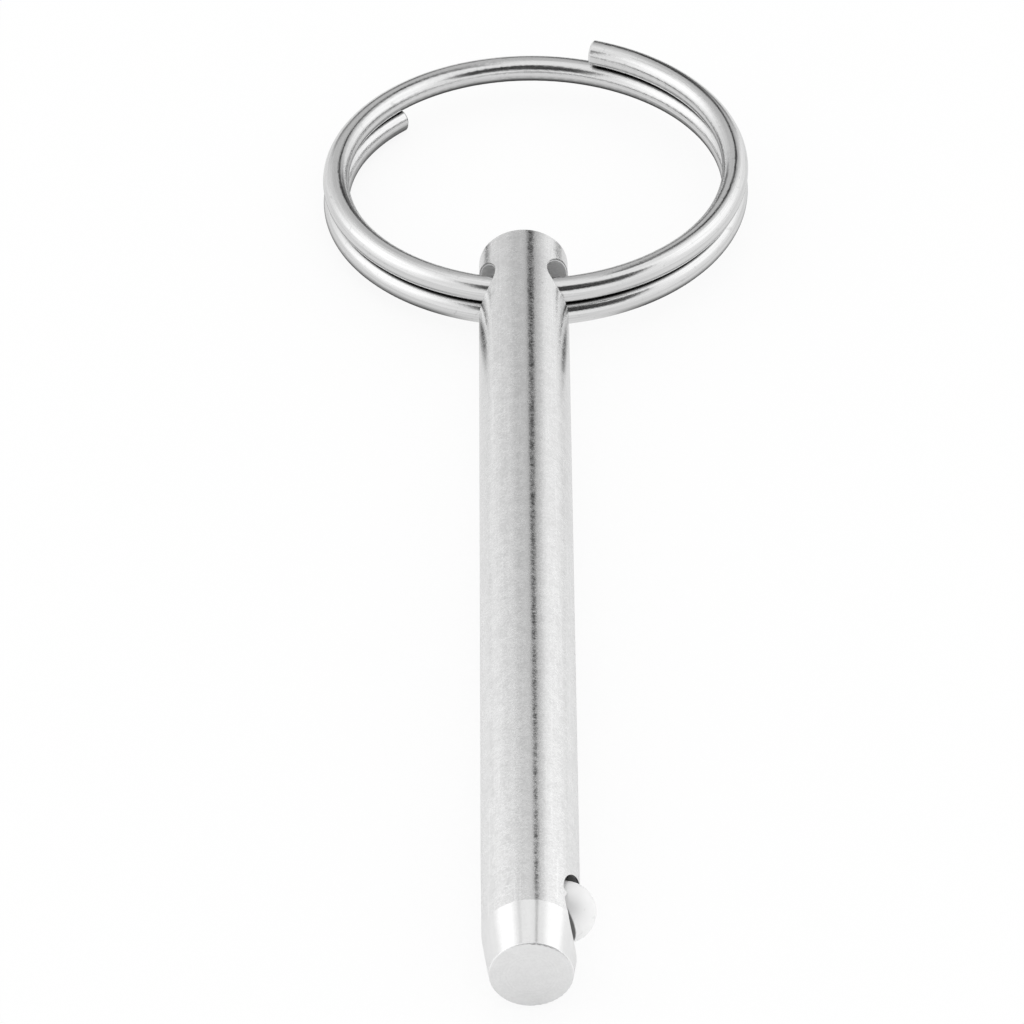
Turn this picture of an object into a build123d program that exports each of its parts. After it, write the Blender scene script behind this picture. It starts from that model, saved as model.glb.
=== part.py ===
from build123d import *
import os
from math import asin, atan2, cos, degrees, hypot, radians, sin, sqrt, tan

os.makedirs("parts", exist_ok=True)

# Quick release pin: a turned stainless shank with a split ring through its eye
# and a spring-loaded locking ball in a slanted bore behind the nose.
# The shank lies along Y with the nose at -Y, the ball on its +X side and +Z up.
# It lies rolled a little about its axis, the ball's side up, while the ring lies flat.
# The origin is on the shank's axis, halfway along the grip.

# Shank, in mm and degrees
shank_diameter = 6.35
grip_length = 57.15
nose_length = 3.62
nose_drop = 0.485
nose_break = 0.1
end_break = 0.25
end_relief = 0.03
lie_roll = 4.0

# Eye for the split ring, drilled across the ring end
eye_share = 0.75
eye_end_wall = 1.57
eye_grip_wall = 1.34
eye_edge_break = 0.12

# Locking ball and its slanted bore, angles in degrees
ball_share = 0.625
ball_bore_clearance = 0.215
ball_seat_gap = 0.02
ball_sink = 0.02
ball_to_nose = 0.06
bore_slant = 40.0
bore_from_grip = 1.18
drill_point_angle = 118.0
lip_bite = 0.03
lip_height = 0.34

# Spring under the ball
spring_wire = 0.3
spring_share = 0.73
spring_turns = 4.0
spring_end_gap = 0.02

# Split ring, one round wire wound nearly twice, angles counted from its far side
ring_outer_diameter = 30.7
ring_wire_share = 0.388
ring_turn_gap = 0.07
ring_gap_angle = 61.1
ring_top_end_angle = 13.8
ring_yaw = 3.8
ring_sits_low = 0.2
ring_sits_forward = 0.2
ring_end_break = 0.15

# One overrun serves all cuts
overrun = 5.0

# Wound wire is swept span by span
full_turn = 360.0
coil_spans = 8

# Places along the shank
shank_radius = shank_diameter / 2
relief_radius = shank_radius - end_relief
tip_radius = shank_radius - nose_drop
grip_half = grip_length / 2
eye_radius = shank_radius * eye_share
eye_y = grip_half + eye_grip_wall + eye_radius
end_y = eye_y + eye_radius + eye_end_wall
ball_radius = shank_radius * ball_share
bore_radius = ball_radius + ball_bore_clearance
slant = radians(bore_slant)
bore_y = shank_radius / tan(slant) - bore_radius / sin(slant) - bore_from_grip - grip_half

# Distances along the slanted bore, counted outward from the shank's axis
mouth_radius = ball_radius - lip_bite
lip_rim = sqrt(shank_radius**2 - mouth_radius**2) / sin(slant)
ball_out = lip_rim - sqrt((ball_radius + ball_seat_gap) ** 2 - mouth_radius**2)
bore_out = shank_diameter / sin(slant) + overrun
point_half = radians(drill_point_angle / 2)

# The nose starts just past the ball, and the ball goes in until it is flush
tip_y = bore_y - ball_out * cos(slant) - ball_radius - ball_to_nose - nose_length
ball_standout = ball_out * sin(slant) + ball_radius - shank_radius
ball_travel = (ball_standout + ball_sink) / sin(slant)

# The bore is as deep as the ball's travel and the spring pressed solid ask for
spring_radius = ball_radius * spring_share
spring_reach = spring_wire / 2 + spring_end_gap
spring_length = ball_travel + spring_turns * spring_wire
spring_high = ball_out - sqrt((ball_radius + spring_reach) ** 2 - spring_radius**2)
spring_low = spring_high - spring_length
bore_depth = spring_reach / sin(point_half) - (bore_radius - spring_radius) / tan(point_half) - spring_low
point_out = -bore_depth - bore_radius / tan(point_half)

# Eye and bore lie in one plane with the shank's axis, rolled up on the ball's side
roll = radians(lie_roll)
along = Vector(0, 1, 0)
across = Vector(cos(roll), 0, sin(roll))
eye_plane = Plane(origin=(0, eye_y, 0), x_dir=along, z_dir=across)

# The bore's frame: Z runs outward along the bore, X lies in that same plane
bore_plane = Plane(
    origin=(0, bore_y, 0),
    x_dir=across * cos(slant) + along * sin(slant),
    z_dir=across * sin(slant) - along * cos(slant),
)
bore_section = Plane(origin=bore_plane.origin, x_dir=bore_plane.x_dir, z_dir=-bore_plane.y_dir)


def coil_path(base, radius, pitch, angle):
    """A helix standing on a plane, as one wire of equal spans."""
    span_angle = angle / coil_spans
    span_height = pitch * span_angle / full_turn
    span = Helix(pitch=pitch, height=span_height, radius=radius)
    spans = []
    for step in range(coil_spans):
        turned = Location((0, 0, step * span_height), (0, 0, step * span_angle))
        spans.append(base.location * turned * span)
    return Wire(spans)


with BuildPart() as shank:
    # Turned bar: broken ring end, hair-relieved ends, ground grip, lead-in cone and flat tip
    with BuildSketch(Plane.XY):
        with BuildLine():
            Polyline(
                (0, end_y),
                (relief_radius - end_break, end_y),
                (relief_radius, end_y - end_break),
                (shank_radius, grip_half),
                (shank_radius, -grip_half),
                (relief_radius, tip_y + nose_length),
                (tip_radius, tip_y),
                (0, tip_y),
                close=True,
            )
        make_face()
    revolve(axis=Axis.Y)
    fillet(shank.edges().group_by(Axis.Y)[0], nose_break)
    # Eye across the ring end, its rims rounded so that the ring turns freely
    with BuildSketch(eye_plane):
        Circle(eye_radius)
    extrude(amount=shank_radius + overrun, both=True, mode=Mode.SUBTRACT)
    eye_rims = shank.edges(Select.LAST).filter_by(GeomType.LINE, reverse=True)
    fillet(eye_rims, eye_edge_break)
    # Slanted blind bore with its drill point, drawn in by a thin staked lip where its sides come out
    with BuildSketch(bore_section):
        with BuildLine():
            Polyline(
                (0, point_out),
                (bore_radius, -bore_depth),
                (bore_radius, lip_rim - lip_height),
                (mouth_radius, lip_rim),
                (bore_radius, lip_rim + lip_height),
                (bore_radius, bore_out),
                (0, bore_out),
                close=True,
            )
        make_face()
    revolve(axis=Axis(bore_plane.origin, bore_plane.z_dir), mode=Mode.SUBTRACT)
shank.part.label = "pin_shank"
export_step(shank.part, "parts/pin_shank.step")

# The ball rests against the lip, pushed out by the spring
ball_place = Plane(
    origin=bore_plane.from_local_coords((0, 0, ball_out)),
    x_dir=bore_plane.x_dir,
    z_dir=bore_plane.z_dir,
)
with BuildPart(ball_place) as ball:
    Sphere(ball_radius)
ball.part.label = "locking_ball"
export_step(ball.part, "parts/locking_ball.step")

# The spring stands on the drill point's cone and ends under the ball
spring_base = Plane(
    origin=bore_plane.from_local_coords((0, 0, spring_low)),
    x_dir=bore_plane.x_dir,
    z_dir=bore_plane.z_dir,
)
spring_path = coil_path(spring_base, spring_radius, spring_length / spring_turns, spring_turns * full_turn)
with BuildPart() as spring:
    with BuildSketch(Plane(origin=spring_path @ 0, z_dir=spring_path % 0)):
        Circle(spring_wire / 2)
    sweep(path=spring_path, is_frenet=True)
spring.part.label = "ball_spring"
export_step(spring.part, "parts/ball_spring.step")

# The ring's two turns pass through the eye half a turn from its far side
ring_wire_radius = eye_radius * ring_wire_share
ring_wire = 2 * ring_wire_radius
ring_radius = ring_outer_diameter / 2 - ring_wire_radius
ring_pitch = ring_wire + ring_turn_gap
ring_sweep_angle = 2 * full_turn - ring_gap_angle
ring_low_end_angle = ring_gap_angle - ring_top_end_angle
ring_sag = ring_radius - sqrt(ring_radius**2 - shank_radius**2)
ring_from_eye = ring_radius - ring_sag / 2
ring_drop = ring_pitch * (full_turn - ring_low_end_angle) / full_turn

# At rest the low end of the wire touches what the shank lies on
yaw = radians(ring_yaw)
low_end = radians(ring_low_end_angle)
low_end_reach = ring_from_eye * cos(yaw) + ring_radius * cos(low_end - yaw)
rest_drop = shank_radius - ring_sits_low - ring_wire_radius
rest_tilt = asin(rest_drop / hypot(low_end_reach, ring_drop)) - atan2(ring_drop, low_end_reach)
hinge_plane = Plane(
    origin=(0, eye_y - ring_sits_forward, -ring_sits_low),
    x_dir=(1, 0, 0),
    z_dir=(0, sin(rest_tilt), cos(rest_tilt)),
)
ring_base = Plane(
    origin=hinge_plane.from_local_coords((ring_from_eye * sin(yaw), ring_from_eye * cos(yaw), -ring_drop)),
    x_dir=hinge_plane.y_dir * cos(low_end - yaw) - hinge_plane.x_dir * sin(low_end - yaw),
    z_dir=hinge_plane.z_dir,
)
ring_path = coil_path(ring_base, ring_radius, ring_pitch, ring_sweep_angle)
with BuildPart() as ring:
    with BuildSketch(Plane(origin=ring_path @ 0, z_dir=ring_path % 0)):
        Circle(ring_wire_radius)
    sweep(path=ring_path, is_frenet=True)
    # Each cut end is broken by a short cone
    low_cut = Plane(origin=ring_path @ 0, z_dir=-(ring_path % 0))
    top_cut = Plane(origin=ring_path @ 1, z_dir=ring_path % 1)
    with Locations(low_cut, top_cut):
        Cone(
            ring_wire_radius,
            ring_wire_radius - ring_end_break,
            ring_end_break,
            align=(Align.CENTER, Align.CENTER, Align.MIN),
        )
ring.part.label = "split_ring"
export_step(ring.part, "parts/split_ring.step")

print("overall length of the shank", round(end_y - tip_y, 3))
print("grip from", round(-grip_half, 3), "to", round(grip_half, 3), "eye at", round(eye_y, 3))
print("ball stands out", round(ball_standout, 3), "travel", round(ball_travel, 3))
print("ball centre", ball_place.origin, "slides along", bore_plane.z_dir)
print("ring tilt at rest", round(degrees(rest_tilt), 3), "spring length", round(spring_length, 3))
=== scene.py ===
from math import cos, radians, sin

import bpy
import bmesh
from mathutils import Matrix, Vector


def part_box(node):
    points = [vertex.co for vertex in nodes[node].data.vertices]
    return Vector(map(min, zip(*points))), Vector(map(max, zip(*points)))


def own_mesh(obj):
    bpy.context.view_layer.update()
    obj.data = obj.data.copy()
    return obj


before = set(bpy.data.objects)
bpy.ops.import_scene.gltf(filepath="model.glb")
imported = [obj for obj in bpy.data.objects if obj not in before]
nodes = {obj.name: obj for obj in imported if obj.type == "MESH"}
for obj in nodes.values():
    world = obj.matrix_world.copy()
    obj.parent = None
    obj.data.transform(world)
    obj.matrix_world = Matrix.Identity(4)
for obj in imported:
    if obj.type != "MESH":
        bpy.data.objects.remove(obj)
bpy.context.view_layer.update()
mm = 0.001
fullTurn = 360.0  # degrees
print("frame loaded:", sorted(nodes))

bpy.context.scene.view_settings.view_transform = "Standard"

# the camera stands in front of the nose and looks down along the shank
cameraView = {
    "target": (-0.964, 8.31, 0.0),  # mm, beside the shank's axis
    "distance": 477.8,              # mm
    "elevation": 39.403,            # degrees, as the next two
    "azimuth": -0.07,
    "roll": -0.608,
    "focalPixels": 7015.7,
    "imageWidth": 1024,             # pixels
    "sensor": 36.0,                 # mm
    "clip": (0.01, 20.0),           # m
}


def addCamera(spec):
    tilt, turn, roll = (radians(spec[key]) for key in ("elevation", "azimuth", "roll"))
    look = Vector((sin(turn) * cos(tilt), cos(turn) * cos(tilt), -sin(tilt)))
    right = Vector((cos(turn), -sin(turn), 0.0))
    up = right.cross(look)
    right, up = right * cos(roll) + up * sin(roll), up * cos(roll) - right * sin(roll)
    place = (Vector(spec["target"]) - look * spec["distance"]) * mm
    camera = bpy.data.objects.new("camera", bpy.data.cameras.new("camera"))
    camera.data.sensor_width = spec["sensor"]
    camera.data.lens = spec["sensor"] * spec["focalPixels"] / spec["imageWidth"]
    camera.data.clip_start, camera.data.clip_end = spec["clip"]
    turned = Matrix((right, up, -look)).transposed()
    camera.matrix_world = Matrix.Translation(place) @ turned.to_4x4()
    bpy.context.scene.collection.objects.link(camera)
    bpy.context.scene.camera = camera


addCamera(cameraView)
print("camera set")


def newMaterial(name):
    material = bpy.data.materials.new(name)
    material.use_nodes = True
    tree = material.node_tree
    tree.nodes.clear()
    output = tree.nodes.new("ShaderNodeOutputMaterial")
    return material, tree, output


def setInput(tree, node, key, value):
    if isinstance(value, bpy.types.NodeSocket):
        tree.links.new(value, node.inputs[key])
    else:
        node.inputs[key].default_value = value


def addNode(tree, kind, inputs=None, **settings):
    node = tree.nodes.new(kind)
    for key, value in settings.items():
        setattr(node, key, value)
    for key, value in (inputs or {}).items():
        setInput(tree, node, key, value)
    return node


def calc(tree, operation, *values):
    node = addNode(tree, "ShaderNodeMath", operation=operation)
    for slot, value in enumerate(values):
        setInput(tree, node, slot, value)
    return node.outputs[0]


def vary(tree, amount, share, base):  # base plus a share of the amount
    return calc(tree, "MULTIPLY_ADD", amount, share, base)


def span(tree, first, second):  # length of a vector in a plane
    squares = calc(tree, "ADD", calc(tree, "POWER", first, 2.0), calc(tree, "POWER", second, 2.0))
    return calc(tree, "SQRT", squares)


def fade(tree, value, start, end):  # 0 at start, 1 at end, eased
    node = addNode(
        tree, "ShaderNodeMapRange",
        {"Value": value, "From Min": start, "From Max": end},
        interpolation_type="SMOOTHSTEP",
    )
    return node.outputs["Result"]


def overlap(tree, *masks):
    both = masks[0]
    for mask in masks[1:]:
        both = calc(tree, "MULTIPLY", both, mask)
    return both


def blend(tree, amount, first, second):
    node = addNode(tree, "ShaderNodeMix", {"Factor": amount, "A": first, "B": second})
    return node.outputs["Result"]


def noise(tree, inputs, **settings):
    return addNode(tree, "ShaderNodeTexNoise", {"Scale": 1.0, **inputs}, **settings).outputs[0]


def grey(shade):
    return (shade, shade, shade, 1.0)


def addObject(name, work):
    mesh = bpy.data.meshes.new(name)
    work.to_mesh(mesh)
    work.free()
    made = bpy.data.objects.new(name, mesh)
    bpy.context.scene.collection.objects.link(made)
    return made


# white studio: an even white surround, a white floor, and cards that the steel mirrors
studio = {
    "worldStrength": 1.0,
    "floorHalf": 3.0,      # m
    "floorColour": 0.98,
    "floorGlow": 0.88,     # share of plain white that the camera sees on the floor
    "mirrorGlow": 0.05,    # and that the steel mirrors
}


def addWorld(spec):
    world = bpy.data.worlds.new("studio")
    world.use_nodes = True
    tree = world.node_tree
    tree.nodes.clear()
    light = addNode(tree, "ShaderNodeBackground", {"Color": grey(1.0), "Strength": spec["worldStrength"]})
    output = addNode(tree, "ShaderNodeOutputWorld")
    tree.links.new(light.outputs["Background"], output.inputs["Surface"])
    bpy.context.scene.world = world


def addFloor(spec):
    lowest = min(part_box("pin_shank")[0][2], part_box("split_ring")[0][2])
    work = bmesh.new()
    bmesh.ops.create_grid(work, x_segments=1, y_segments=1, size=spec["floorHalf"])
    bmesh.ops.translate(work, verts=work.verts, vec=(0.0, 0.0, lowest))
    floor = addObject("floor", work)
    material, tree, output = newMaterial("whiteFloor")
    paint = addNode(tree, "ShaderNodeBsdfDiffuse", {"Color": grey(spec["floorColour"])}).outputs["BSDF"]
    glow = addNode(tree, "ShaderNodeEmission", {"Color": grey(1.0), "Strength": 1.0}).outputs["Emission"]
    path = addNode(tree, "ShaderNodeLightPath").outputs
    seen = calc(tree, "MULTIPLY", path["Is Camera Ray"], spec["floorGlow"])
    mirrored = calc(tree, "MAXIMUM", path["Is Glossy Ray"], path["Is Transmission Ray"])
    share = calc(tree, "MAXIMUM", seen, calc(tree, "MULTIPLY", mirrored, spec["mirrorGlow"]))
    both = addNode(tree, "ShaderNodeMixShader", {0: share, 1: paint, 2: glow})
    tree.links.new(both.outputs["Shader"], output.inputs["Surface"])
    floor.data.materials.append(material)


addWorld(studio)
addFloor(studio)

# cards round the object, which only the steel mirrors
# about X they bend behind, over and in front, and about Y at the sides; about Z they lie flat
# along is in mm on the bend's axis, at the arc's start and, where given, topAlong at its end
# arc is in degrees up from behind (X) or from the right (Y), or in mm along Y (Z)
# a ring lies flat round its centre, with along as its inner and outer radius and arc from the right
# radius is in mm, and is the height of what lies flat
# soft is the share that fades at each side and at each end of the arc
cardSteps = 32  # faces along the arc
cards = {
    "backDim": {
        "about": "X", "radius": 192.0, "along": (-190.0, 60.0), "arc": (-20.0, 50.0),
        "soft": (0.35, 0.35), "light": 0.78,
    },
    "backGrey": {
        "about": "X", "radius": 190.0, "along": (-90.0, 110.0), "arc": (-30.0, 66.0),
        "soft": (0.26, 0.33), "light": 0.61,
    },
    "backStripe": {
        "about": "X", "radius": 188.0, "along": (-18.0, 50.0), "topAlong": (39.0, 50.0),
        "arc": (-29.0, 84.0), "soft": (0.26, 0.28), "light": 0.03,
    },
    "backSeam": {
        "about": "X", "radius": 188.0, "along": (-94.0, -62.0), "arc": (40.0, 74.0),
        "soft": (0.45, 0.15), "light": 0.76,
    },
    "backFoot": {
        "about": "X", "radius": 186.0, "along": (-95.0, 95.0), "arc": (-1.0, 16.0),
        "soft": (0.25, 0.35), "light": 0.15,
    },
    "frontDark": {
        "about": "X", "radius": 190.0, "along": (-140.0, 225.0), "arc": (98.0, 156.0),
        "soft": (0.1, 0.16), "light": 0.05,
    },
    # a grey sheet on the floor round the pin and ring that only the steel mirrors: painted shadow near the
    # object
    "floorPaintedShadow": {
        "about": "Z", "radius": -3.16, "along": (-70.0, 70.0), "arc": (-5.0, 105.0),
        "soft": (0.35, 0.35), "light": 0.84,
    },
    # a dark ring on the floor under the split ring that only the steel mirrors: painted shadow where the
    # ring's own shadow falls
    "ringShade": {
        "about": "ring", "radius": -3.14, "centre": (0.9, 46.3), "along": (10.6, 18.2),
        "arc": (-75.0, 255.0), "soft": (0.5, 0.06), "light": 0.05,
    },
    "leftBox": {
        "about": "Y", "radius": 260.0, "along": (-160.0, 260.0), "arc": (118.0, 180.0),
        "soft": (0.4, 0.3), "light": 1.4,
    },
    "rightBox": {
        "about": "Y", "radius": 260.0, "along": (-110.0, 320.0), "arc": (4.0, 64.0),
        "soft": (0.4, 0.3), "light": 1.3,
    },
}


def cardPoint(spec, across, rise):  # both run from 0 to 1 over the card
    foot, top = spec["along"], spec.get("topAlong", spec["along"])
    start, end = (low + (high - low) * rise for low, high in zip(foot, top))
    along = (start + (end - start) * across) * mm
    arc = spec["arc"][0] + (spec["arc"][1] - spec["arc"][0]) * rise
    turn, reach = radians(arc), spec["radius"] * mm
    if spec["about"] == "X":
        return Vector((along, reach * cos(turn), reach * sin(turn)))
    if spec["about"] == "Y":
        return Vector((reach * cos(turn), along, reach * sin(turn)))
    if spec["about"] == "ring":
        return Vector((*spec["centre"], 0.0)) * mm + Vector((along * cos(turn), along * sin(turn), reach))
    return Vector((along, arc * mm, reach))


def addCard(name, spec):
    work = bmesh.new()
    work.loops.layers.uv.new("card")
    bmesh.ops.create_grid(work, x_segments=1, y_segments=cardSteps, size=1.0, calc_uvs=True)
    for vert in work.verts:
        vert.co = cardPoint(spec, (vert.co.x + 1.0) / 2.0, (vert.co.y + 1.0) / 2.0)
    card = addObject(name, work)
    material, tree, output = newMaterial(name)
    place = addNode(tree, "ShaderNodeUVMap", uv_map="card").outputs["UV"]
    split = addNode(tree, "ShaderNodeSeparateXYZ", {"Vector": place}).outputs
    edges = []
    for axis, soft in zip("XY", spec["soft"]):
        edges.append(fade(tree, split[axis], 0.0, soft))
        edges.append(fade(tree, split[axis], 1.0, 1.0 - soft))
    clear = addNode(tree, "ShaderNodeBsdfTransparent")
    glow = addNode(tree, "ShaderNodeEmission", {"Color": grey(1.0), "Strength": spec["light"]})
    both = addNode(tree, "ShaderNodeMixShader", {
        0: overlap(tree, *edges), 1: clear.outputs["BSDF"], 2: glow.outputs["Emission"],
    })
    tree.links.new(both.outputs["Shader"], output.inputs["Surface"])
    card.data.materials.append(material)
    card.visible_camera = False
    card.visible_diffuse = False
    card.visible_shadow = False
    card.visible_transmission = False


for name, spec in cards.items():
    addCard(name, spec)
print("studio set:", len(cards), "cards")


def newGroup(name, inputs, outputs):
    tree = bpy.data.node_groups.new(name, "ShaderNodeTree")
    for label, kind in inputs:
        tree.interface.new_socket(label, in_out="INPUT", socket_type=kind)
    for label, kind in outputs:
        tree.interface.new_socket(label, in_out="OUTPUT", socket_type=kind)
    return tree, tree.nodes.new("NodeGroupInput").outputs, tree.nodes.new("NodeGroupOutput")


def useGroup(tree, group, inputs):
    node = tree.nodes.new("ShaderNodeGroup")
    node.node_tree = group
    for key, value in inputs.items():
        setInput(tree, node, key, value)
    return node.outputs


def inUnits(tree, vector, size):  # so that 1 is this size
    node = addNode(tree, "ShaderNodeVectorMath", {0: vector}, operation="SCALE")
    setInput(tree, node, "Scale", calc(tree, "DIVIDE", 1.0, size))
    return node.outputs[0]


# steel grain: fine speckle with a coarser mottle, and sparse nicks
grainLook = {
    "speckleDetail": 2.0, "speckleRoughness": 0.6, "speckleShare": 0.65,
    "mottleScale": 0.22, "mottleDetail": 2.0, "mottleShare": 0.35,
    "grainRange": (0.3, 0.7),
    "nickDetail": 3.0, "nickDistortion": 0.6, "nickRange": (0.62, 0.74),
}


def makeSteelGrain(look):
    tree, given, result = newGroup(
        "steelGrain",
        [("Vector", "NodeSocketVector"), ("Grain Size", "NodeSocketFloat"), ("Nick Size", "NodeSocketFloat")],
        [("Grain", "NodeSocketFloat"), ("Nicks", "NodeSocketFloat")],
    )
    fine = inUnits(tree, given["Vector"], given["Grain Size"])
    speckle = noise(tree, {
        "Vector": fine, "Detail": look["speckleDetail"], "Roughness": look["speckleRoughness"],
    })
    mottle = noise(tree, {"Vector": fine, "Scale": look["mottleScale"], "Detail": look["mottleDetail"]})
    mixed = vary(tree, mottle, look["mottleShare"], calc(tree, "MULTIPLY", speckle, look["speckleShare"]))
    tree.links.new(fade(tree, mixed, *look["grainRange"]), result.inputs["Grain"])
    coarse = inUnits(tree, given["Vector"], given["Nick Size"])
    spots = noise(tree, {
        "Vector": coarse, "Detail": look["nickDetail"], "Distortion": look["nickDistortion"],
    })
    tree.links.new(fade(tree, spots, *look["nickRange"]), result.inputs["Nicks"])
    return tree


# drawn wire: streaks that run along a wound wire, in the coil's own frame with its axis on Z
streakLook = {"detail": 3.0, "roughness": 0.6, "range": (0.3, 0.7)}


def makeDrawnWire(look):
    tree, given, result = newGroup(
        "drawnWire",
        [
            ("Vector", "NodeSocketVector"), ("Coil Radius", "NodeSocketFloat"), ("Pitch", "NodeSocketFloat"),
            ("Streak Length", "NodeSocketFloat"), ("Streak Width", "NodeSocketFloat"),
        ],
        [("Streaks", "NodeSocketFloat"), ("Turn", "NodeSocketFloat"), ("Level", "NodeSocketFloat")],
    )
    split = addNode(tree, "ShaderNodeSeparateXYZ", {"Vector": given["Vector"]}).outputs
    turn = calc(tree, "ARCTAN2", split["Y"], split["X"])
    rise = calc(tree, "MULTIPLY", given["Pitch"], calc(tree, "DIVIDE", turn, radians(fullTurn)))
    raised = calc(tree, "SUBTRACT", split["Z"], rise)
    half = calc(tree, "DIVIDE", given["Pitch"], 2.0)
    height = calc(tree, "WRAP", raised, half, calc(tree, "MULTIPLY", half, -1.0))
    out = calc(tree, "SUBTRACT", span(tree, split["X"], split["Y"]), given["Coil Radius"])
    stretch = calc(tree, "DIVIDE", given["Coil Radius"], given["Streak Length"])
    place = addNode(tree, "ShaderNodeCombineXYZ", {
        "X": calc(tree, "MULTIPLY", calc(tree, "COSINE", turn), stretch),
        "Y": calc(tree, "MULTIPLY", calc(tree, "SINE", turn), stretch),
        "Z": calc(tree, "DIVIDE", height, given["Streak Width"]),
    })
    streaks = noise(
        tree,
        {
            "Vector": place.outputs[0], "W": calc(tree, "DIVIDE", out, given["Streak Width"]),
            "Detail": look["detail"], "Roughness": look["roughness"],
        },
        noise_dimensions="4D",
    )
    tree.links.new(fade(tree, streaks, *look["range"]), result.inputs["Streaks"])
    tree.links.new(turn, result.inputs["Turn"])
    level = calc(tree, "DIVIDE", raised, given["Pitch"])  # counts the turns upward
    tree.links.new(level, result.inputs["Level"])
    return tree


steelGrain = makeSteelGrain(grainLook)
drawnWire = makeDrawnWire(streakLook)


def useGrain(tree, place, grain, nick):  # both sizes in mm
    return useGroup(tree, steelGrain, {"Vector": place, "Grain Size": grain * mm, "Nick Size": nick * mm})


def useWire(tree, place, low, turned, spec):  # low is the coil's start in mm, turned its frame
    coil = addNode(
        tree, "ShaderNodeMapping",
        {"Vector": place, "Location": Vector(low) * mm, "Rotation": turned.to_euler("XYZ")},
        vector_type="TEXTURE",
    )
    return useGroup(tree, drawnWire, {
        "Vector": coil.outputs[0], "Coil Radius": spec["radius"] * mm, "Pitch": spec["pitch"] * mm,
        "Streak Length": spec["streakLength"] * mm, "Streak Width": spec["streakWidth"] * mm,
    })


def centre(tree, value):  # a 0 to 1 pattern about 0
    return calc(tree, "SUBTRACT", value, 0.5)


def finishSteel(tree, output, shade, roughness, height, depth):
    bump = addNode(tree, "ShaderNodeBump", {"Strength": 1.0, "Distance": depth * mm, "Height": height})
    colour = addNode(tree, "ShaderNodeCombineColor", {"Red": shade, "Green": shade, "Blue": shade})
    steel = addNode(tree, "ShaderNodeBsdfPrincipled", {
        "Base Color": colour.outputs[0], "Metallic": 1.0, "Roughness": roughness,
        "Normal": bump.outputs["Normal"],
    })
    tree.links.new(steel.outputs["BSDF"], output.inputs["Surface"])


def dress(node, material):
    nodes[node].data.materials.clear()
    nodes[node].data.materials.append(material)


# shank: ground grip, polished nose cone, turned end faces, drilled eye and bore, with painted light on the
# tip's rounded edge and the drilled walls and a painted highlight on the opening edges
# lengths are in mm, and pairs give where a finish starts and where it is full
shankFinish = {
    "radius": 3.145, "noseStart": -34.078, "noseSlope": 0.1257, "tip": -37.698, "ringEnd": 36.248,
    "noseEdge": (-0.02, 0.02), "faceEdge": (0.05, 0.01),
    "breakEdge": (0.12, 0.08),                       # the tip's rounded edge, from the tip
    "innerFromTip": (0.25, 0.3), "innerFromEnd": (0.3, 0.35),
    "rimEdge": (0.0, 0.04), "drilledEdge": (0.08, 0.16),  # below the outer surface
    "wornFrom": (10.0, 34.0),                        # nicks grow towards the ring end
    "grain": 0.17, "nick": 0.6,
    "ringMarks": (300.0, 9000.0, 300.0),             # grinding marks, per m
    "rubMarks": (5200.0, 110.0, 5200.0),             # lengthwise rubbing, per m
    "faceMarks": 9.0,                                # turning marks, per mm of radius
    "ringDetail": 3.0, "rubDetail": 2.0, "faceDetail": 2.0, "rubRange": (0.55, 0.72),
    "shade": 0.77, "grainShade": 0.14, "ringShade": 0.06, "rubShade": 0.05, "nickShade": 0.12,
    "noseShade": 0.79, "noseGrainShade": 0.042,
    "faceShade": 0.79, "turnedShade": 0.05,
    # the opening edges and the tip's rounded edge are painted lighter than the steel: a painted highlight and
    # painted light
    "paintedRimHighlight": 0.84, "paintedBreakLight": 0.95,
    # the drilled walls are painted lighter than the ground steel: painted light in the bore's shade
    "drilledPaintedLight": 0.82, "drilledGrainShade": 0.1,
    "roughness": 0.22, "grainRoughness": 0.16,
    "noseRoughness": 0.18, "noseGrainRoughness": 0.03,
    "faceRoughness": 0.36, "rimRoughness": 0.16, "breakRoughness": 0.55, "drilledRoughness": 0.7,
    "bumpDepth": 0.0022,                             # and the shares of it that each mark takes
    "ringBump": 0.6, "nickBump": 1.0, "noseBump": 0.25, "turnedBump": 0.25,
}


def shankZones(tree, along, reach, spec):  # masks for where on the shank this is
    pastNose = calc(tree, "SUBTRACT", spec["noseStart"], along)
    fromTip = calc(tree, "SUBTRACT", along, spec["tip"])
    fromEnd = calc(tree, "SUBTRACT", spec["ringEnd"], along)
    drop = calc(tree, "MULTIPLY", calc(tree, "MAXIMUM", pastNose, 0.0), spec["noseSlope"])
    below = calc(tree, "SUBTRACT", calc(tree, "SUBTRACT", spec["radius"], drop), reach)
    inner = overlap(
        tree,
        fade(tree, fromTip, *spec["innerFromTip"]), fade(tree, fromEnd, *spec["innerFromEnd"]),
    )
    deep = fade(tree, below, *spec["drilledEdge"])
    shallow = overlap(tree, fade(tree, below, *spec["rimEdge"]), calc(tree, "SUBTRACT", 1.0, deep))
    return {
        "nose": fade(tree, pastNose, *spec["noseEdge"]),
        "break": fade(tree, fromTip, *spec["breakEdge"]),
        "face": calc(
            tree, "MAXIMUM",
            fade(tree, fromTip, *spec["faceEdge"]), fade(tree, fromEnd, *spec["faceEdge"]),
        ),
        "rim": overlap(tree, shallow, inner),
        "drilled": overlap(tree, deep, inner),
    }


def stretchedMarks(tree, place, marks, detail):
    stretched = addNode(tree, "ShaderNodeVectorMath", {0: place, 1: marks}, operation="MULTIPLY")
    return noise(tree, {"Vector": stretched.outputs[0], "Detail": detail})


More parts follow.
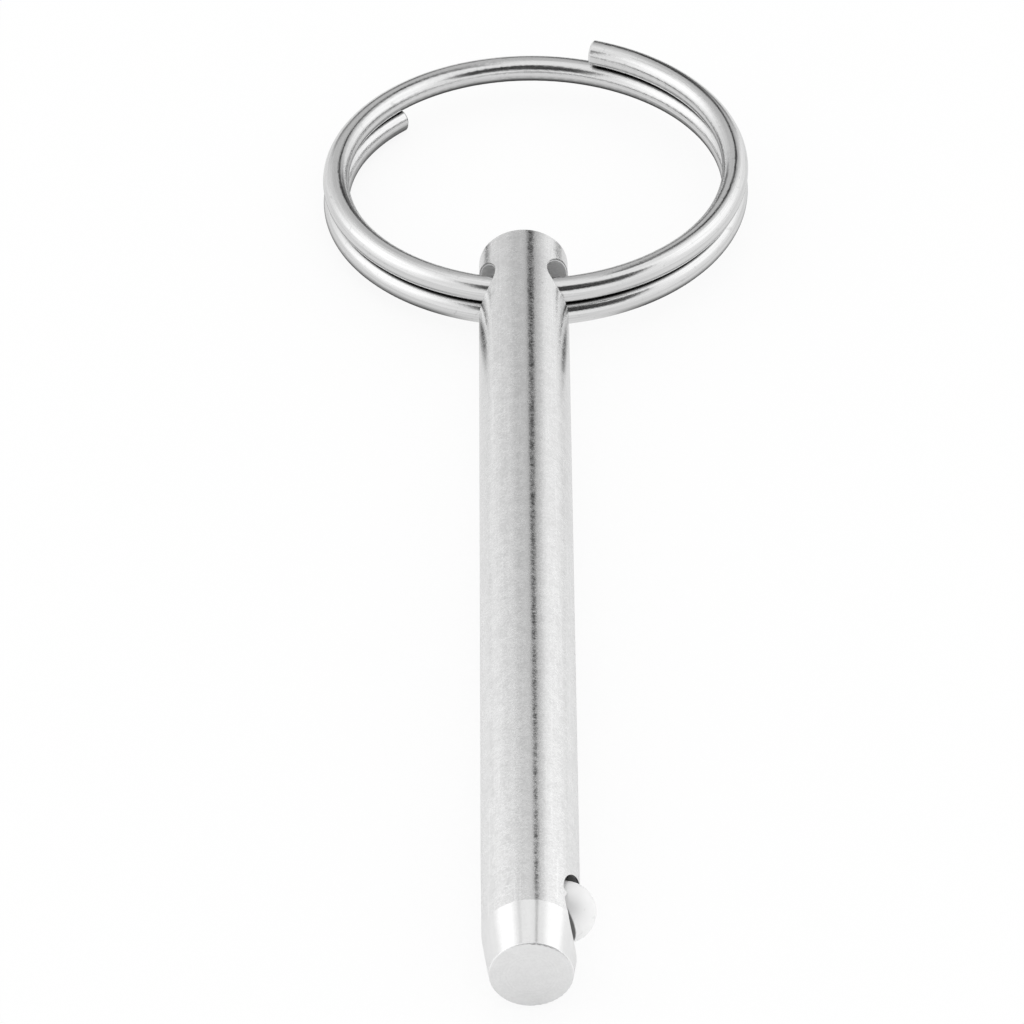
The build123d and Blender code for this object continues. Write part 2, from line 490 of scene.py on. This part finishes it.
def makeShankSteel(spec):
    material, tree, output = newMaterial("shankSteel")
    place = addNode(tree, "ShaderNodeTexCoord").outputs["Object"]
    split = addNode(tree, "ShaderNodeSeparateXYZ", {"Vector": place}).outputs
    along = calc(tree, "DIVIDE", split["Y"], mm)
    reach = calc(tree, "DIVIDE", span(tree, split["X"], split["Z"]), mm)
    zones = shankZones(tree, along, reach, spec)
    # grain, grinding rings, rubbing, turning marks and nicks
    grain = useGrain(tree, place, spec["grain"], spec["nick"])
    speckle = centre(tree, grain["Grain"])
    rings = stretchedMarks(tree, place, spec["ringMarks"], spec["ringDetail"])
    rubs = stretchedMarks(tree, place, spec["rubMarks"], spec["rubDetail"])
    turned = noise(
        tree,
        {"W": calc(tree, "MULTIPLY", reach, spec["faceMarks"]), "Detail": spec["faceDetail"]},
        noise_dimensions="1D",
    )
    worn = overlap(tree, grain["Nicks"], fade(tree, along, *spec["wornFrom"]))
    # shade
    shade = vary(tree, speckle, spec["grainShade"], spec["shade"])
    shade = vary(tree, centre(tree, rings), spec["ringShade"], shade)
    shade = vary(tree, fade(tree, rubs, *spec["rubRange"]), spec["rubShade"], shade)
    shade = vary(tree, worn, -spec["nickShade"], shade)
    noseShade = vary(tree, speckle, spec["noseGrainShade"], spec["noseShade"])
    faceShade = vary(tree, centre(tree, turned), spec["turnedShade"], spec["faceShade"])
    faceShade = vary(tree, speckle, spec["turnedShade"], faceShade)
    drilledPaintedLight = vary(tree, speckle, spec["drilledGrainShade"], spec["drilledPaintedLight"])
    shade = blend(tree, zones["nose"], shade, noseShade)
    # painted light on the tip's rounded edge
    shade = blend(tree, zones["break"], shade, spec["paintedBreakLight"])
    shade = blend(tree, zones["face"], shade, faceShade)
    # the opening edges: a real smoother polish, and a painted highlight in their lighter colour
    shade = blend(tree, zones["rim"], shade, spec["paintedRimHighlight"])
    # painted light on the drilled walls
    shade = blend(tree, zones["drilled"], shade, drilledPaintedLight)
    # gloss
    roughness = vary(tree, speckle, spec["grainRoughness"], spec["roughness"])
    noseRoughness = vary(tree, speckle, spec["noseGrainRoughness"], spec["noseRoughness"])
    roughness = blend(tree, zones["nose"], roughness, noseRoughness)
    for zone in ("break", "face", "rim", "drilled"):
        roughness = blend(tree, zones[zone], roughness, spec[zone + "Roughness"])
    # relief
    height = vary(tree, rings, spec["ringBump"], grain["Grain"])
    height = vary(tree, worn, -spec["nickBump"], height)
    height = blend(tree, zones["nose"], height, calc(tree, "MULTIPLY", height, spec["noseBump"]))
    height = blend(tree, zones["face"], height, vary(tree, turned, spec["turnedBump"], grain["Grain"]))
    finishSteel(tree, output, shade, roughness, height, spec["bumpDepth"])
    return material


dress("pin_shank", makeShankSteel(shankFinish))
print("shank finished")

# ball: bright, with faint rolling scuffs, and painted shade low down on the nose's side, where it sits in the
# shadow of the opening's edge
ballFinish = {
    "grain": 0.35, "scuff": 0.5,                      # mm
    "shade": 1.0, "scuffShade": 0.05,
    "roughness": 0.72, "scuffRoughness": 0.1, "grainRoughness": 0.03, "bumpDepth": 0.0006,
    # painted shade where the ball lies below the shank's surface, in the shadow of the opening's edge
    "paintedShadeReach": (2.9, 2.8),                          # mm from the shank's axis, from start to full
    "paintedShadeAlong": (-31.4, -32.2),                      # mm along the shank, towards the nose
    "paintedShadeLevel": 0.14, "paintedShadeRoughness": 0.45,
}


def makeBallSteel(spec):
    material, tree, output = newMaterial("ballSteel")
    place = addNode(tree, "ShaderNodeTexCoord").outputs["Object"]
    split = addNode(tree, "ShaderNodeSeparateXYZ", {"Vector": place}).outputs
    along = calc(tree, "DIVIDE", split["Y"], mm)
    reach = calc(tree, "DIVIDE", span(tree, split["X"], split["Z"]), mm)
    # painted shade on the ball inside the opening
    paintedShade = overlap(tree, fade(tree, reach, *spec["paintedShadeReach"]), fade(tree, along, *spec["paintedShadeAlong"]))
    grain = useGrain(tree, place, spec["grain"], spec["scuff"])
    shade = vary(tree, grain["Nicks"], -spec["scuffShade"], spec["shade"])
    shade = blend(tree, paintedShade, shade, spec["paintedShadeLevel"])
    roughness = vary(tree, grain["Nicks"], spec["scuffRoughness"], spec["roughness"])
    roughness = vary(tree, grain["Grain"], spec["grainRoughness"], roughness)
    roughness = blend(tree, paintedShade, roughness, spec["paintedShadeRoughness"])
    finishSteel(tree, output, shade, roughness, grain["Grain"], spec["bumpDepth"])
    return material


dress("locking_ball", makeBallSteel(ballFinish))
print("ball finished")

# ring: bright drawn wire; its frame is the coil's own, from the lower cut end
# lengths are in mm and angles in degrees; lift counts the turns from the lower end
ringFinish = {
    "low": (0.944, 46.286, -2.088),      # on the coil's axis at the lower end's height
    "tilt": 0.895, "start": 133.5,       # the coil's tilt, and its start round the axis
    "radius": 14.426, "pitch": 1.918, "gap": 61.1,
    "streakLength": 4.5, "streakWidth": 0.11, "grain": 0.14, "nick": 0.5,
    "shade": 0.73, "streakShade": 0.1, "nickShade": 0.1,
    "roughness": 0.13, "streakRoughness": 0.1,
    "lowCutFrom": (-3.0, -2.9), "lowCutTo": (-0.35, -0.45), "lowCutLift": (0.55, 0.5),
    "topCutFrom": (0.45, 0.55), "topCutTo": (4.0, 3.9), "topCutLift": (1.3, 1.36),
    "cutShade": 0.62, "cutGrainShade": 0.1, "cutRoughness": 0.34,
    # painted shade in the groove between the two turns
    "paintedShadeEdge": (0.1, 0.05),             # shares of the pitch from midway between the turns
    "paintedShadeEnd": (1.0, -2.0),              # from where the upper turn ends
    "paintedShadeLevel": 0.04, "paintedShadeRoughness": 0.5,
    "bumpDepth": 0.0022, "grainBump": 0.25,
}


def ringCuts(tree, angle, lift, spec):  # the cut faces stand just past the ends of the wire
    pastTop = calc(tree, "ADD", angle, spec["gap"])
    lowCut = overlap(
        tree,
        fade(tree, angle, *spec["lowCutFrom"]), fade(tree, angle, *spec["lowCutTo"]),
        fade(tree, lift, *spec["lowCutLift"]),
    )
    topCut = overlap(
        tree,
        fade(tree, pastTop, *spec["topCutFrom"]), fade(tree, pastTop, *spec["topCutTo"]),
        fade(tree, lift, *spec["topCutLift"]),
    )
    return calc(tree, "MAXIMUM", lowCut, topCut)


def ringPaintedShade(tree, angle, lift, spec):  # painted shade where the two turns lie together
    under = calc(tree, "WRAP", angle, fullTurn, 0.0)
    between = calc(tree, "SUBTRACT", lift, calc(tree, "DIVIDE", under, fullTurn))
    between = calc(tree, "ABSOLUTE", centre(tree, between))
    pastEnd = calc(tree, "SUBTRACT", under, fullTurn - spec["gap"])
    return overlap(tree, fade(tree, between, *spec["paintedShadeEdge"]), fade(tree, pastEnd, *spec["paintedShadeEnd"]))


def makeRingSteel(spec):
    material, tree, output = newMaterial("ringSteel")
    place = addNode(tree, "ShaderNodeTexCoord").outputs["Object"]
    turned = Matrix.Rotation(radians(-spec["tilt"]), 3, "X") @ Matrix.Rotation(radians(spec["start"]), 3, "Z")
    wire = useWire(tree, place, spec["low"], turned, spec)
    grain = useGrain(tree, place, spec["grain"], spec["nick"])
    angle = calc(tree, "DIVIDE", wire["Turn"], radians(1.0))
    lift = calc(tree, "ADD", wire["Level"], calc(tree, "DIVIDE", angle, fullTurn))
    cut = ringCuts(tree, angle, lift, spec)
    paintedShade = ringPaintedShade(tree, angle, lift, spec)
    shade = vary(tree, centre(tree, wire["Streaks"]), spec["streakShade"], spec["shade"])
    shade = vary(tree, grain["Nicks"], -spec["nickShade"], shade)
    shade = blend(tree, cut, shade, vary(tree, grain["Grain"], spec["cutGrainShade"], spec["cutShade"]))
    # painted shade between the turns
    shade = blend(tree, paintedShade, shade, spec["paintedShadeLevel"])
    roughness = vary(tree, wire["Streaks"], spec["streakRoughness"], spec["roughness"])
    roughness = blend(tree, cut, roughness, spec["cutRoughness"])
    roughness = blend(tree, paintedShade, roughness, spec["paintedShadeRoughness"])
    height = vary(tree, grain["Grain"], spec["grainBump"], wire["Streaks"])
    finishSteel(tree, output, shade, roughness, height, spec["bumpDepth"])
    return material


dress("split_ring", makeRingSteel(ringFinish))
print("ring finished")

# spring: drawn wire on the slanted bore's axis, dulled by grease
springFinish = {
    "low": (-0.625, -28.646, -0.044), "slant": 40.0, "roll": 4.0,  # mm and degrees
    "radius": 1.448, "pitch": 0.707, "streakLength": 1.5, "streakWidth": 0.04,
    "wire": 0.15,      # the wire's radius in mm
    "pressed": 0.47,   # share of its length that is left with the ball pressed in
    "shade": 0.5, "streakShade": 0.16, "roughness": 0.22, "streakRoughness": 0.14, "bumpDepth": 0.001,
}


def boreAxes(spec):  # towards the spring's start, and out along the bore
    slant, roll = radians(spec["slant"]), radians(spec["roll"])
    across, along = Vector((cos(roll), 0.0, sin(roll))), Vector((0.0, 1.0, 0.0))
    return across * cos(slant) + along * sin(slant), across * sin(slant) - along * cos(slant)


def makeSpringSteel(spec):
    material, tree, output = newMaterial("springSteel")
    place = addNode(tree, "ShaderNodeTexCoord").outputs["Object"]
    side, out = boreAxes(spec)
    turned = Matrix((side, out.cross(side), out)).transposed()
    wire = useWire(tree, place, spec["low"], turned, spec)
    shade = vary(tree, centre(tree, wire["Streaks"]), spec["streakShade"], spec["shade"])
    roughness = vary(tree, wire["Streaks"], spec["streakRoughness"], spec["roughness"])
    finishSteel(tree, output, shade, roughness, wire["Streaks"], spec["bumpDepth"])
    return material


def pressSpring():  # gives the spring its own copy of its mesh
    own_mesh(nodes["ball_spring"])


dress("ball_spring", makeSpringSteel(springFinish))
pressSpring()
print("spring finished")
